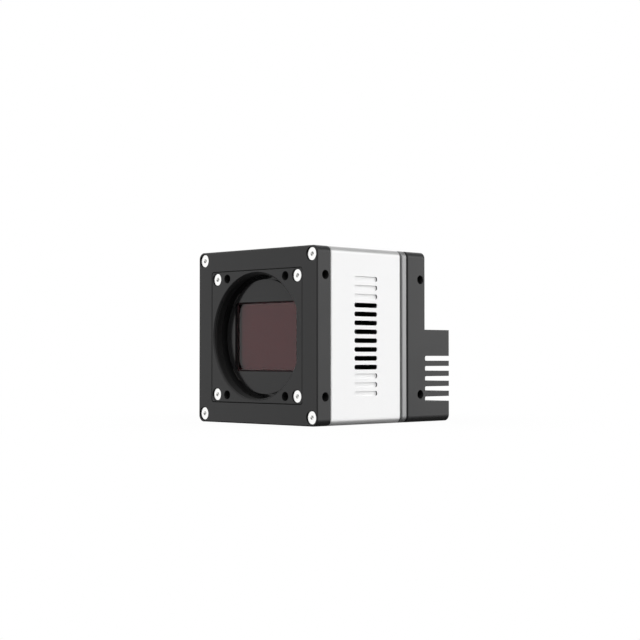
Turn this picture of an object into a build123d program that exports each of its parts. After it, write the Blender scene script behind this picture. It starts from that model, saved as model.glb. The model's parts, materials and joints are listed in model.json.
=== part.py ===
from build123d import *
import math
import os

os.makedirs("parts", exist_ok=True)

# A machine vision camera with a large round lens mount, a vented sleeve and a finned rear block.
# Millimetres. The lens looks along -Y, +X is to the right seen from the front, and +Z is up.
# The origin lies on the optical axis, in the plane of the front face.

# Body and its sections, counted rearward from the front face
body_size = 80.0
body_corner = 3.0
front_plate_depth = 8.75
sleeve_depth = 45.6
sleeve_seal_depth = 1.3
ring_depth = 3.15
rear_seal_depth = 0.85
rear_depth = 12.0
bay_depth = 17.7
bay_top = 3.5
seal_inset = 0.8
front_break = 0.5
edge_break = 0.35

# Lens mount, M58 x 0.75
thread_r = 29.0
thread_depth = 4.6
relief_cut = 0.4
mouth_break = 0.6
mount_web = 1.5
mount_plate_depth = 6.0
mount_plate_corner = 1.3
seam = 0.15
seam_break = 0.3
adapter_hole_x = 19.6
adapter_hole_z = 27.05
adapter_hole_depth = 4.5

# Tapped M4 holes, the same pattern on all four sides
m4_r = 2.1
side_hole_front = 5.1
side_hole_from_rear = 3.1
side_hole_z = 27.0
side_hole_depth = 6.0
hole_floor = 1.0
hole_wall = 0.4

# Screws: shank radii, head sizes and where they stand
m3_r = 1.5
m25_r = 1.25
m2_r = 1.0
tap_gap = 0.05
pass_gap = 0.2
tip_gap = 0.4
front_head_r = 2.85
front_head_sink = 0.65
mount_head_r = 2.7
mount_head_sink = 0.6
low_head_height = 1.7
counterbore_gap = 0.3
low_socket_r = 1.1
low_socket_depth = 1.2
rear_head_r = 3.0
head_rim = 0.45
head_gap = 0.12
cap_head_grow = 0.9
cap_head_height = 1.2
cap_socket_share = 0.6
socket_share = 0.36
socket_depth = 1.3
front_screw_inset = 3.85
front_screw_bite = 6.8
mount_screw_inset = 3.55
mount_screw_bite = 2.4
rear_screw_inset = 5.0
rear_screw_bite = 8.0
bore_gap = 0.4

# Sleeve: wall, screw posts, vent slots and the shallow pockets that continue their row
sleeve_wall = 3.0
post_size = 7.5
slot_start = 14.85
slot_length = 15.05
slot_height = 2.15
slot_corner = 0.95
slot_pitch = 4.0
open_slots = 8
blind_slots = 3
blind_depth = 0.7

# Image sensor, its mask, glass, holder and board
mask_groove = 3.0
mask_rim = 1.06
window_width = 41.4
window_height = 32.2
window_corner = 2.2
glass_recess = 1.4
glass_gap = 0.15
package_rim = 4.3
well_margin = 0.4
die_margin = 0.6
die_depth = 0.7
die_drop = 0.4
holder_depth = 3.0
holder_clearance = 1.0
holder_screw_inset = 3.0
holder_screw_z = 12.0
board_depth = 1.6
sensor_board_clearance = 2.0
sensor_board_screw_out = 2.0
sensor_board_screw_z = 18.0
pad_depth = 1.5
pad_size = 30.0

# Heat sink between the sensor and the processor, with channels from side to side
sink_left = -30.0
sink_right = 18.0
sink_half_height = 16.0
sink_wall = 3.0
flange_clearance = 0.5
flange_screw_inset_x = 6.0
flange_screw_inset_z = 3.0
spacer_r = 2.5
channel_count = 6
channel_pitch = 3.6
channel_height = 2.2

# Cooling fan: its axis runs from side to side, behind the vent slots
fan_size = 30.0
fan_depth = 10.0
fan_corner = 2.0
fan_hole_inset = 3.0
fan_wall = 0.7
fan_screw_bite = 6.0
fan_tip_gap = 0.7
fan_hub_r = 6.4
fan_hub_wall = 0.8
cup_face = 1.0
fan_back = 1.5
fan_side_gap = 0.6
fan_blades = 7
blade_depth = 6.0
blade_thickness = 0.8
blade_pitch_root = 58.0
blade_pitch_tip = 38.0
fan_tube_r = 2.6
bush_r = 1.9
shaft_r = 1.0
shaft_gap = 0.04
stator_gap = 0.6
stator_slot = 1.2
stator_yoke = 1.0
strut_width = 1.6
strut_count = 3
strut_root = 0.5

# Electronics behind the heat sink
processor_size = 27.0
processor_depth = 2.4
processor_pad_depth = 0.6
board_clearance = 0.8
chip_width = 9.0
chip_height = 13.0
chip_depth = 1.0
chip_row_z = 24.0
main_screw_z = 16.0
main_spacer_depth = 2.65
ring_wall = 9.0
interface_board_clearance = 2.0
interface_screw_inset = 4.0
interface_spacer_depth = 2.0
link_width = 24.0
link_height = 6.0
link_z = -10.0

# Rear housing: cavity, finned block and the hollow of its upper part
rear_floor = 2.5
corner_block = 13.0
bay_head = 12.4
gap_height = 2.3
gap_root = 0.3
gap_corner = 0.7
gap_pitch = 4.8
gap_count = 5
duct_side_wall = 9.0
duct_wall = 2.5
bay_wall = 3.0

# Connectors and status light on the rear
power_from_side = 22.0
power_from_top = 20.0
power_body_r = 6.0
power_flange_r = 8.0
power_flange_depth = 1.5
power_barrel_r = 5.8
power_barrel_length = 6.6
power_wall = 1.0
power_face_drop = 1.4
contact_ring_r = 3.1
contact_count = 9
contact_inner_r = 1.1
contact_inner_count = 3
contact_r = 0.4
video_count = 4
video_pitch = 15.0
video_body_r = 3.0
video_body_depth = 6.65
video_flange_r = 4.2
video_flange_depth = 1.5
video_barrel_r = 2.7
video_barrel_length = 6.8
video_bore_r = 1.9
video_bore_depth = 7.5
video_lug_r = 0.6
video_lug_from_end = 2.4
video_lug_root = 0.3
video_pin_r = 0.4
video_pin_drop = 1.0
video_board_clearance = 1.0
light_from_side = 32.0
light_from_top = 13.0
light_r = 1.5
light_proud = 0.4
fit_gap = 0.1

# The body from side to side
half = body_size / 2
inner_half = half - sleeve_wall
mount_plate_size = 2 * (thread_r + mount_web)
relief_r = thread_r + relief_cut
window_reach = window_corner + math.hypot(window_width / 2 - window_corner, window_height / 2 - window_corner)
mask_r = window_reach + mask_rim
opening_r = mask_r + mask_groove
package_width = window_width + 2 * package_rim
package_height = window_height + 2 * package_rim
flange_half_height = inner_half - post_size - flange_clearance
sink_middle = (sink_left + sink_right) / 2
ring_opening = body_size - 2 * ring_wall
rear_cavity = body_size - 2 * (side_hole_depth + hole_floor)
interface_board_size = rear_cavity - 2 * interface_board_clearance
power_x = power_from_side - half
power_z = half - power_from_top
light_x = half - light_from_side
light_z = half - light_from_top

# Stations along the optical axis, from the front
sleeve_front = front_plate_depth
sleeve_back = sleeve_front + sleeve_depth
ring_front = sleeve_back + sleeve_seal_depth
ring_back = ring_front + ring_depth
rear_front = ring_back + rear_seal_depth
rear_back = rear_front + rear_depth
bay_back = rear_back + bay_depth
wall_front = rear_back - side_hole_from_rear - m4_r - hole_wall
floor_front = rear_back - rear_floor
slot_centre_y = sleeve_front + slot_start + slot_length / 2
holder_front = front_plate_depth
holder_back = holder_front + holder_depth
mask_front = mount_plate_depth
glass_front = mask_front + glass_recess
sensor_board_back = holder_back + board_depth
sink_front = sensor_board_back + pad_depth

# The boards behind the heat sink, counted forward from what carries them
main_board_back = ring_front - main_spacer_depth
main_board_front = main_board_back - board_depth
processor_front = main_board_front - processor_depth
sink_back = processor_front - processor_pad_depth
interface_board_back = wall_front - interface_spacer_depth
interface_board_front = interface_board_back - board_depth

# The finned block: its fins hang below a hollow head that holds the coaxial receptacles
gap_front = rear_back + gap_root
gap_first_z = bay_top - bay_head - gap_height / 2
duct_half_width = half - duct_side_wall
duct_ceiling = bay_top - duct_wall
duct_floor = bay_top - bay_head + duct_wall
video_z = (duct_floor + duct_ceiling) / 2
video_places = [(n - (video_count - 1) / 2) * video_pitch for n in range(video_count)]
video_board_back = bay_back - bay_wall - video_body_depth
video_end = bay_back + video_flange_depth + video_barrel_length
video_floor = video_end - video_bore_depth

# The fan along X, from the side that meets the heat sink to the side behind the slots
fan_centre_y = (sink_front + sink_back) / 2
fan_bore_r = fan_size / 2 - fan_wall
fan_hole_at = fan_size / 2 - fan_hole_inset
fan_left = sink_right
fan_right = fan_left + fan_depth
hub_back = fan_right - fan_back
rotor_left = fan_left + fan_side_gap
rotor_right = hub_back - fan_side_gap
cup_floor = rotor_left + cup_face
tube_start = cup_floor + fan_side_gap


def four_corners(x, z):
    """The four places (+-x, +-z)."""
    return [(sx * x, sz * z) for sx in (-1, 1) for sz in (-1, 1)]


def across(outline, front, depth):
    """Extrude an outline, drawn as seen from the front, rearward from y = front."""
    return extrude(Plane.XZ.offset(-front) * outline, amount=-depth)


def along_x(outline, left, length):
    """Extrude an outline drawn in Y and Z to the right from x = left."""
    return extrude(Plane.YZ.offset(left) * outline, amount=length)


def rod(x, z, radius, front, depth):
    """A round bar, or a drill, along the optical axis."""
    return across(Pos(x, z) * Circle(radius), front, depth)


def turned(points):
    """Turn (radius, y) points about the Y axis."""
    return revolve(make_face(Polyline(*points, close=True)), Axis.Y)


def inner_outline(clearance=0.0):
    """The inside of the sleeve round its four screw posts, smaller all round by a clearance."""
    reach = inner_half - clearance
    centre = reach - post_size / 2
    outline = Rectangle(2 * reach, 2 * reach)
    for x, z in four_corners(centre, centre):
        outline -= Pos(x, z) * Rectangle(post_size, post_size)
    return outline


def section(front, depth, break_front, break_back):
    """A length of the square body with its end edges broken."""
    solid = across(RectangleRounded(body_size, body_size, body_corner), front, depth)
    for index, size in ((0, break_front), (-1, break_back)):
        if size:
            face = solid.faces().sort_by(Axis.Y)[index]
            solid = chamfer(face.outer_wire().edges(), size)
    return solid


def flat_profile(head_r, shank_r, length, gap=0.0):
    """Half section of a countersunk screw, or of its seat when a gap is given."""
    cone = head_rim + head_r - shank_r
    wide = head_r + gap
    narrow = shank_r + gap
    return [(0, 0), (wide, 0), (wide, head_rim), (narrow, cone), (narrow, length), (0, length)]


def flat_screw(head_r, shank_r, length):
    """A countersunk socket screw along +Y, with the top of its head at the origin."""
    socket = across(RegularPolygon(head_r * socket_share, 6), 0, socket_depth)
    return turned(flat_profile(head_r, shank_r, length)) - socket


def flat_seat(head_r, shank_r, length):
    """The countersunk clearance hole for a flat screw."""
    return turned(flat_profile(head_r, shank_r, length, head_gap))


def low_screw(head_r, sink, length):
    """A low-head M3 screw along +Y for a face at y = 0: its head lies sunk in a counterbore."""
    floor = sink + low_head_height
    points = [(0, sink), (head_r, sink), (head_r, floor), (m3_r, floor), (m3_r, length), (0, length)]
    return turned(points) - across(RegularPolygon(low_socket_r, 6), sink, low_socket_depth)


def counterbore(head_r, sink, length):
    """The flat-bottomed hole for a low-head M3 screw, with its clearance hole behind."""
    wide = head_r + counterbore_gap
    narrow = m3_r + pass_gap
    floor = sink + low_head_height
    return turned([(0, 0), (wide, 0), (wide, floor), (narrow, floor), (narrow, length), (0, length)])


def cap_screw(shank_r, length):
    """A small cap screw along +Y: its head stands in front of y = 0 and its shank behind."""
    head_r = shank_r + cap_head_grow
    top = -cap_head_height
    points = [(0, top), (head_r, top), (head_r, 0), (shank_r, 0), (shank_r, length), (0, length)]
    socket = across(RegularPolygon(shank_r * cap_socket_share, 6), top, cap_head_height / 2)
    return turned(points) - socket


def turned_round(shape):
    """The same shape pointing forward instead of rearward."""
    return Rot(0, 0, 180) * shape


def side_holes(y):
    """Blind tapped holes at +-side_hole_z, repeated on all four sides of the body."""
    holes = []
    for z in (-side_hole_z, side_hole_z):
        hole = along_x(Pos(y, z) * Circle(m4_r), half - side_hole_depth, side_hole_depth)
        holes += [Rot(0, turn, 0) * hole for turn in (0, 90, 180, 270)]
    return holes


# Where the screws stand, and how long they are
front_screw_at = half - front_screw_inset
mount_screw_at = mount_plate_size / 2 - mount_screw_inset
rear_screw_at = half - rear_screw_inset
interface_screw_at = interface_board_size / 2 - interface_screw_inset
main_screw_x = (ring_opening / 2 + inner_half) / 2
flange_screw_z = flange_half_height - flange_screw_inset_z
front_screws = four_corners(front_screw_at, front_screw_at)
mount_screws = four_corners(mount_screw_at, mount_screw_at)
rear_screws = four_corners(rear_screw_at, rear_screw_at)
holder_screws = four_corners(inner_half - holder_clearance - holder_screw_inset, holder_screw_z)
sensor_board_screws = four_corners(package_width / 2 + sensor_board_screw_out, sensor_board_screw_z)
sink_screws = [(x, z) for x in (sink_left + flange_screw_inset_x, sink_right - flange_screw_inset_x)
               for z in (-flange_screw_z, flange_screw_z)]
fan_screws = [(fan_centre_y + y, z) for y, z in four_corners(fan_hole_at, fan_hole_at)]
main_screws = four_corners(main_screw_x, main_screw_z)
interface_screws = four_corners(interface_screw_at, interface_screw_at)
holder_tap = holder_depth - hole_wall
plate_tap = front_plate_depth - mount_plate_depth - hole_wall
front_screw_length = front_plate_depth + front_screw_bite
rear_screw_length = rear_back - sleeve_back + rear_screw_bite


def make_front_plate():
    """The square front plate, pocketed for the mount plate and opened behind it."""
    plate = section(0, front_plate_depth, front_break, edge_break)
    pocket_size = mount_plate_size + 2 * seam
    pocket = RectangleRounded(pocket_size, pocket_size, mount_plate_corner + seam)
    plate -= across(pocket, 0, mount_plate_depth)
    plate -= rod(0, 0, opening_r, mount_plate_depth, front_plate_depth - mount_plate_depth)
    for x, z in front_screws:
        plate -= Pos(x, 0, z) * counterbore(front_head_r, front_head_sink, front_plate_depth)
    for x, z in mount_screws:
        plate -= rod(x, z, m3_r + tap_gap, mount_plate_depth, front_plate_depth - mount_plate_depth)
    for x, z in holder_screws:
        plate -= rod(x, z, m25_r + tap_gap, holder_front - plate_tap, plate_tap)
    return plate - side_holes(side_hole_front)


def make_mount_plate():
    """The inset plate that carries the lens thread, its screws and the adapter holes."""
    outline = RectangleRounded(mount_plate_size, mount_plate_size, mount_plate_corner)
    plate = across(outline, 0, mount_plate_depth)
    plate = chamfer(plate.faces().sort_by(Axis.Y)[0].outer_wire().edges(), seam_break)
    mouth_r = thread_r + mouth_break
    plate -= turned([(0, 0), (mouth_r, 0), (thread_r, mouth_break), (thread_r, thread_depth),
                     (relief_r, thread_depth), (relief_r, mount_plate_depth), (0, mount_plate_depth)])
    for x, z in mount_screws:
        plate -= Pos(x, 0, z) * counterbore(mount_head_r, mount_head_sink, mount_plate_depth)
    for x, z in four_corners(adapter_hole_x, adapter_hole_z):
        plate -= rod(x, z, m4_r, 0, adapter_hole_depth)
    return plate


def make_sensor_mask():
    """The round mask that stands in the mount, with the rectangular window over the sensor."""
    window = RectangleRounded(window_width, window_height, window_corner)
    return across(Circle(mask_r) - window, mask_front, holder_front - mask_front)


def make_cover_glass():
    """The filter glass, set down into the mask's window and resting on the sensor package."""
    width = window_width - 2 * glass_gap
    height = window_height - 2 * glass_gap
    outline = RectangleRounded(width, height, window_corner - glass_gap)
    return across(outline, glass_front, holder_front - glass_front)


def inside_window(margin):
    """A rectangle inside the window by a margin all round."""
    return Rectangle(window_width - 2 * margin, window_height - 2 * margin)


def make_sensor_package():
    """The ceramic body of the image sensor, with a well for the silicon."""
    body = across(Rectangle(package_width, package_height), holder_front, holder_depth)
    return body - across(inside_window(well_margin), holder_front, die_drop + die_depth)


def make_sensor_die():
    """The silicon in the package's well."""
    return across(inside_window(die_margin), holder_front + die_drop, die_depth)


def make_sensor_holder():
    """The plate behind the front plate that locates the image sensor."""
    plate = across(inner_outline(holder_clearance), holder_front, holder_depth)
    pocket = Rectangle(package_width + 2 * fit_gap, package_height + 2 * fit_gap)
    plate -= across(pocket, holder_front, holder_depth)
    for x, z in holder_screws:
        plate -= rod(x, z, m25_r + pass_gap, holder_front, holder_depth)
    for x, z in sensor_board_screws:
        plate -= rod(x, z, m2_r + tap_gap, holder_back - holder_tap, holder_tap)
    for x, z in sink_screws:
        plate -= rod(x, z, m25_r + tap_gap, holder_back - holder_tap, holder_tap)
    return plate


def make_sensor_board():
    """The circuit board on the back of the sensor, cleared for the screw heads and spacers that pass it."""
    board = across(inner_outline(sensor_board_clearance), holder_back, board_depth)
    for x, z in sensor_board_screws:
        board -= rod(x, z, m2_r + pass_gap, holder_back, board_depth)
    for x, z in holder_screws:
        board -= rod(x, z, m25_r + cap_head_grow + bore_gap, holder_back, board_depth)
    for x, z in sink_screws:
        board -= rod(x, z, spacer_r + bore_gap, holder_back, board_depth)
    return board


def make_heat_sink():
    """An extruded block with channels from side to side and a screw flange at the front."""
    depth = sink_back - sink_front
    middle = (sink_front + sink_back) / 2
    flange_y = sink_front + sink_wall / 2
    profile = Pos(middle, 0) * Rectangle(depth, 2 * sink_half_height)
    profile += Pos(flange_y, 0) * Rectangle(sink_wall, 2 * flange_half_height)
    for n in range(channel_count):
        z = (n - (channel_count - 1) / 2) * channel_pitch
        profile -= Pos(middle, z) * Rectangle(depth - 2 * sink_wall, channel_height)
    sink = along_x(profile, sink_left, sink_right - sink_left)
    for x, z in sink_screws:
        sink -= rod(x, z, m25_r + pass_gap, sink_front, sink_wall)
    for y, z in fan_screws:
        sink -= along_x(Pos(y, z) * Circle(m2_r + tap_gap), sink_right - fan_screw_bite, fan_screw_bite)
    return sink


def make_spacers(places, front, depth):
    """A set of round spacers for M2.5 screws, one at each place."""
    ring = Circle(spacer_r) - Circle(m25_r + pass_gap)
    return [across(Pos(x, z) * ring, front, depth) for x, z in places]


def fan_place(outline, left, length):
    """Extrude an outline centred on the fan's axis."""
    return along_x(Pos(fan_centre_y, 0) * outline, left, length)


def make_fan_frame():
    """The square frame with its bore, and the hub plate held by three struts."""
    outline = RectangleRounded(fan_size, fan_size, fan_corner) - Circle(fan_bore_r)
    frame = fan_place(outline, fan_left, fan_depth)
    for y, z in fan_screws:
        frame -= along_x(Pos(y, z) * Circle(m2_r + pass_gap), fan_left, fan_depth)
    frame += fan_place(Circle(fan_hub_r), hub_back, fan_back)
    strut_start = fan_hub_r - strut_root
    strut_length = fan_bore_r + strut_root - strut_start
    strut = Pos(strut_start + strut_length / 2, 0) * Rectangle(strut_length, strut_width)
    for n in range(strut_count):
        frame += fan_place(Rot(0, 0, 30 + 360 / strut_count * n) * strut, hub_back, fan_back)
    tube = Circle(fan_tube_r) - Circle(bush_r + shaft_gap / 2)
    return frame + fan_place(tube, tube_start, hub_back - tube_start)


def make_fan_bush():
    """The bearing bush in the frame's tube."""
    ring = Circle(bush_r) - Circle(shaft_r + shaft_gap)
    return fan_place(ring, tube_start, hub_back - tube_start)


def make_fan_stator():
    """The four-pole iron of the motor, on the outside of the frame's tube."""
    outer_r = fan_hub_r - fan_hub_wall - stator_gap
    iron = Circle(outer_r) - Circle(fan_tube_r + shaft_gap)
    slot_length = outer_r - fan_tube_r - stator_yoke
    for n in range(4):
        iron -= Rot(0, 0, 45 + 90 * n) * Pos(outer_r, 0) * Rectangle(2 * slot_length, stator_slot)
    return fan_place(iron, tube_start + fan_side_gap, rotor_right - tube_start - 2 * fan_side_gap)


def make_fan_rotor():
    """The moulded impeller: a cup over the motor with pitched, twisted blades."""
    cup = fan_place(Circle(fan_hub_r), rotor_left, rotor_right - rotor_left)
    cup -= fan_place(Circle(fan_hub_r - fan_hub_wall), cup_floor, rotor_right - cup_floor)
    root_r = fan_hub_r - fan_hub_wall / 2
    tip_r = fan_bore_r - fan_tip_gap
    middle = (rotor_left + rotor_right) / 2
    chord = blade_depth / math.sin(math.radians(blade_pitch_root))
    ends = []
    for radius, pitch in ((root_r, blade_pitch_root), (tip_r, blade_pitch_tip)):
        ends.append(Plane.XY.offset(radius) * Rot(0, 0, 90 - pitch) * Rectangle(chord, blade_thickness))
    blade = loft(ends)
    for n in range(fan_blades):
        cup += Pos(middle, fan_centre_y, 0) * Rot(360 / fan_blades * n, 0, 0) * blade
    return cup


def make_fan_shaft():
    """The steel shaft, pressed into the cup and running in the bush."""
    return fan_place(Circle(shaft_r), cup_floor, rotor_right - cup_floor)


def make_fan_screws():
    """Four long screws through the frame into the heat sink."""
    screw = Rot(0, 0, 90) * cap_screw(m2_r, fan_depth + fan_screw_bite - tip_gap)
    return [Pos(fan_right, y, z) * screw for y, z in fan_screws]


def make_main_board():
    """The main board, cut round the sleeve's screw posts."""
    board = across(inner_outline(board_clearance), main_board_front, board_depth)
    for x, z in main_screws:
        board -= rod(x, z, m25_r + pass_gap, main_board_front, board_depth)
    return board


def square_block(size, front, depth):
    """A square pad or chip behind the middle of the heat sink."""
    return across(Pos(sink_middle, 0) * Rectangle(size, size), front, depth)


def make_memory_chips():
    """Four memory chips in two rows on the back of the main board."""
    chip = Rectangle(chip_width, chip_height)
    return [across(Pos(sink_middle + x, z) * chip, main_board_back, chip_depth)
            for x, z in four_corners(chip_width, chip_row_z)]


def make_sleeve():
    """The vented sleeve: a square tube with four screw posts inside its corners."""
    sleeve = section(sleeve_front, sleeve_depth, edge_break, edge_break)
    sleeve -= across(inner_outline(), sleeve_front, sleeve_depth)
    front_tap = front_screw_bite + hole_floor
    rear_tap = rear_screw_bite + hole_floor
    for x, z in front_screws:
        sleeve -= rod(x, z, m3_r + tap_gap, sleeve_front, front_tap)
    for x, z in rear_screws:
        sleeve -= rod(x, z, m3_r + tap_gap, sleeve_back - rear_tap, rear_tap)
    total = open_slots + 2 * blind_slots
    for n in range(total):
        z = (n - (total - 1) / 2) * slot_pitch
        is_open = blind_slots <= n < blind_slots + open_slots
        depth = sleeve_wall if is_open else blind_depth
        slot = Pos(slot_centre_y, z) * RectangleRounded(slot_length, slot_height, slot_corner)
        cut = along_x(slot, half - depth, depth)
        sleeve -= [cut, Rot(0, 180, 0) * cut]
    return sleeve


def make_seal(front, depth):
    """A flat gasket set in from the outer surface, with the sleeve's inside and screw holes."""
    size = body_size - 2 * seal_inset
    outline = RectangleRounded(size, size, body_corner - seal_inset) - inner_outline()
    for x, z in rear_screws:
        outline -= Pos(x, z) * Circle(m3_r + pass_gap)
    return across(outline, front, depth)


def make_ring():
    """The bright ring between sleeve and rear housing that carries the main board."""
    ring = section(ring_front, ring_depth, edge_break, edge_break)
    ring -= across(RectangleRounded(ring_opening, ring_opening, body_corner), ring_front, ring_depth)
    for x, z in rear_screws:
        ring -= rod(x, z, m3_r + pass_gap, ring_front, ring_depth)
    for x, z in main_screws:
        ring -= rod(x, z, m25_r + tap_gap, ring_front, ring_depth)
    return ring


def make_rear_housing():
    """The rear housing: a shallow box with corner blocks, whose lower half stands out as a finned block."""
    body = section(rear_front, rear_depth, edge_break, 0)
    bay = across(RectangleRounded(body_size, body_size, body_corner), rear_back, bay_depth)
    bay_height = bay_top + half
    bay &= across(Pos(0, bay_top - bay_height / 2) * Rectangle(body_size, bay_height), rear_back, bay_depth)
    body += bay
    cavity = RectangleRounded(rear_cavity, rear_cavity, body_corner)
    body -= across(cavity, rear_front, wall_front - rear_front)
    block_at = (rear_cavity - corner_block) / 2
    for x, z in four_corners(block_at, block_at):
        cavity -= Pos(x, z) * Rectangle(corner_block, corner_block)
    body -= across(cavity, wall_front, floor_front - wall_front)
    gap = RectangleRounded(2 * (bay_back - gap_front), gap_height, gap_corner)
    for n in range(gap_count):
        body -= along_x(Pos(bay_back, gap_first_z - n * gap_pitch) * gap, -half, body_size)
    duct_height = duct_ceiling - duct_floor
    duct = Pos(0, video_z) * Rectangle(2 * duct_half_width, duct_height)
    body -= across(duct, wall_front, bay_back - bay_wall - wall_front)
    for x, z in rear_screws:
        body -= Pos(x, rear_back, z) * turned_round(flat_seat(rear_head_r, m3_r, rear_depth))
        if z < bay_top:
            body -= rod(x, z, rear_head_r + bore_gap, rear_back, bay_depth)
    for x, z in interface_screws:
        body -= rod(x, z, m25_r + tap_gap, wall_front, rear_back - wall_front - hole_floor)
    for x in video_places:
        body -= rod(x, video_z, video_body_r + fit_gap, bay_back - bay_wall, bay_wall)
    body -= rod(power_x, power_z, power_body_r + fit_gap, wall_front, rear_back - wall_front)
    body -= rod(light_x, light_z, light_r + fit_gap, wall_front, rear_back - wall_front)
    return body - side_holes(rear_back - side_hole_from_rear)


def make_interface_board():
    """The board behind the rear wall that carries the power connector."""
    outline = Rectangle(interface_board_size, interface_board_size)
    board = across(outline, interface_board_front, board_depth)
    for x, z in interface_screws:
        board -= rod(x, z, m25_r + pass_gap, interface_board_front, board_depth)
    return board


def make_board_link():
    """The stacking connector between the main board and the interface board."""
    outline = Pos(0, link_z) * Rectangle(link_width, link_height)
    return across(outline, main_board_back, interface_board_front - main_board_back)


def make_power_connector():
    """The round power and trigger receptacle: body, flange and open barrel."""
    flange_end = rear_back + power_flange_depth
    end = flange_end + power_barrel_length
    bore_r = power_barrel_r - power_wall
    shell = turned([(0, interface_board_back), (power_body_r, interface_board_back),
                    (power_body_r, rear_back), (power_flange_r, rear_back), (power_flange_r, flange_end),
                    (power_barrel_r, flange_end), (power_barrel_r, end - edge_break),
                    (power_barrel_r - edge_break, end), (bore_r, end), (bore_r, flange_end), (0, flange_end)])
    return Pos(power_x, 0, power_z) * shell


def make_power_insert():
    """The moulded insert with its contact holes."""
    front = rear_back + power_flange_depth
    depth = power_barrel_length - power_face_drop
    face = Circle(power_barrel_r - power_wall)
    for count, ring_r in ((contact_count, contact_ring_r), (contact_inner_count, contact_inner_r)):
        for n in range(count):
            face -= Rot(0, 0, 360 / count * n) * Pos(0, ring_r) * Circle(contact_r)
    return across(Pos(power_x, power_z) * face, front, depth)


def make_video_connector(x):
    """A coaxial receptacle with a panel flange and two bayonet lugs."""
    flange_end = bay_back + video_flange_depth
    shell = turned([(0, video_board_back), (video_body_r, video_board_back), (video_body_r, bay_back),
                    (video_flange_r, bay_back), (video_flange_r, flange_end),
                    (video_barrel_r, flange_end), (video_barrel_r, video_end),
                    (video_bore_r, video_end), (video_bore_r, video_floor), (0, video_floor)])
    lug_start = video_bore_r + video_lug_root
    lug_length = video_barrel_r + video_lug_r - lug_start
    lug = along_x(Pos(video_end - video_lug_from_end, 0) * Circle(video_lug_r), lug_start, lug_length)
    shell += [lug, Rot(0, 180, 0) * lug]
    return Pos(x, 0, video_z) * shell


def make_video_contact(x):
    """The insulator and centre pin inside a coaxial receptacle."""
    step = (video_floor + video_end) / 2
    tip = video_end - video_pin_drop
    contact = turned([(0, video_floor), (video_bore_r, video_floor), (video_bore_r, step),
                      (video_pin_r, step), (video_pin_r, tip), (0, tip)])
    return Pos(x, 0, video_z) * contact


def make_video_board():
    """The board that carries the coaxial receptacles on its rear edge."""
    outline = Pos(0, video_z) * Rectangle(2 * (duct_half_width - video_board_clearance), board_depth)
    return across(outline, interface_board_back, video_board_back - interface_board_back)


def make_status_light():
    """The light pipe from the board to the rear face."""
    length = rear_back + light_proud - interface_board_back
    return rod(light_x, light_z, light_r, interface_board_back, length)


def screws_at(places, y, screw):
    """One copy of a screw at each place."""
    return [Pos(x, y, z) * screw for x, z in places]


front_screw = low_screw(front_head_r, front_head_sink, front_screw_length)
mount_screw = low_screw(mount_head_r, mount_head_sink, mount_plate_depth + mount_screw_bite)
rear_screw = turned_round(flat_screw(rear_head_r, m3_r, rear_screw_length))
holder_screw = turned_round(cap_screw(m25_r, holder_depth + plate_tap - tip_gap))
sensor_board_screw = turned_round(cap_screw(m2_r, board_depth + holder_tap - tip_gap))
sink_screw = turned_round(cap_screw(m25_r, sink_wall + sink_front - holder_back + holder_tap - tip_gap))
main_screw = cap_screw(m25_r, ring_back - main_board_front - tip_gap)
interface_screw = cap_screw(m25_r, rear_back - hole_floor - interface_board_front - tip_gap)

nodes = {
    "front_plate": make_front_plate(),
    "lens_mount_plate": make_mount_plate(),
    "front_corner_screws": screws_at(front_screws, 0, front_screw),
    "mount_plate_screws": screws_at(mount_screws, 0, mount_screw),
    "sensor_mask": make_sensor_mask(),
    "cover_glass": make_cover_glass(),
    "sensor_package": make_sensor_package(),
    "sensor_die": make_sensor_die(),
    "sensor_holder": make_sensor_holder(),
    "sensor_holder_screws": screws_at(holder_screws, holder_back, holder_screw),
    "sensor_board": make_sensor_board(),
    "sensor_board_screws": screws_at(sensor_board_screws, sensor_board_back, sensor_board_screw),
    "sensor_thermal_pad": square_block(pad_size, sensor_board_back, pad_depth),
    "heat_sink": make_heat_sink(),
    "heat_sink_spacers": make_spacers(sink_screws, holder_back, sink_front - holder_back),
    "heat_sink_screws": screws_at(sink_screws, sink_front + sink_wall, sink_screw),
    "fan_frame": make_fan_frame(),
    "fan_bush": make_fan_bush(),
    "fan_stator": make_fan_stator(),
    "fan_rotor": make_fan_rotor(),
    "fan_shaft": make_fan_shaft(),
    "fan_screws": make_fan_screws(),
    "processor_thermal_pad": square_block(processor_size, sink_back, processor_pad_depth),
    "processor": square_block(processor_size, processor_front, processor_depth),
    "main_board": make_main_board(),
    "memory_chips": make_memory_chips(),
    "main_board_spacers": make_spacers(main_screws, main_board_back, main_spacer_depth),
    "main_board_screws": screws_at(main_screws, main_board_front, main_screw),
    "housing_sleeve": make_sleeve(),
    "sleeve_seal": make_seal(sleeve_back, sleeve_seal_depth),
    "middle_ring": make_ring(),
    "rear_seal": make_seal(ring_back, rear_seal_depth),
    "rear_housing": make_rear_housing(),
    "rear_housing_screws": screws_at(rear_screws, rear_back, rear_screw),
    "interface_board": make_interface_board(),
    "interface_board_spacers": make_spacers(interface_screws, interface_board_back, interface_spacer_depth),
    "interface_board_screws": screws_at(interface_screws, interface_board_front, interface_screw),
    "board_link": make_board_link(),
    "power_connector": make_power_connector(),
    "power_connector_insert": make_power_insert(),
    "status_light": make_status_light(),
    "video_board": make_video_board(),
}
for number, place in enumerate(video_places, start=1):
    nodes[f"video_connector_{number}"] = make_video_connector(place)
    nodes[f"video_contact_{number}"] = make_video_contact(place)

for name, shape in nodes.items():
    if isinstance(shape, list):
        shape = Compound([piece.solid() for piece in shape])
    export_step(shape, f"parts/{name}.step")
    print(name)
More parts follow.
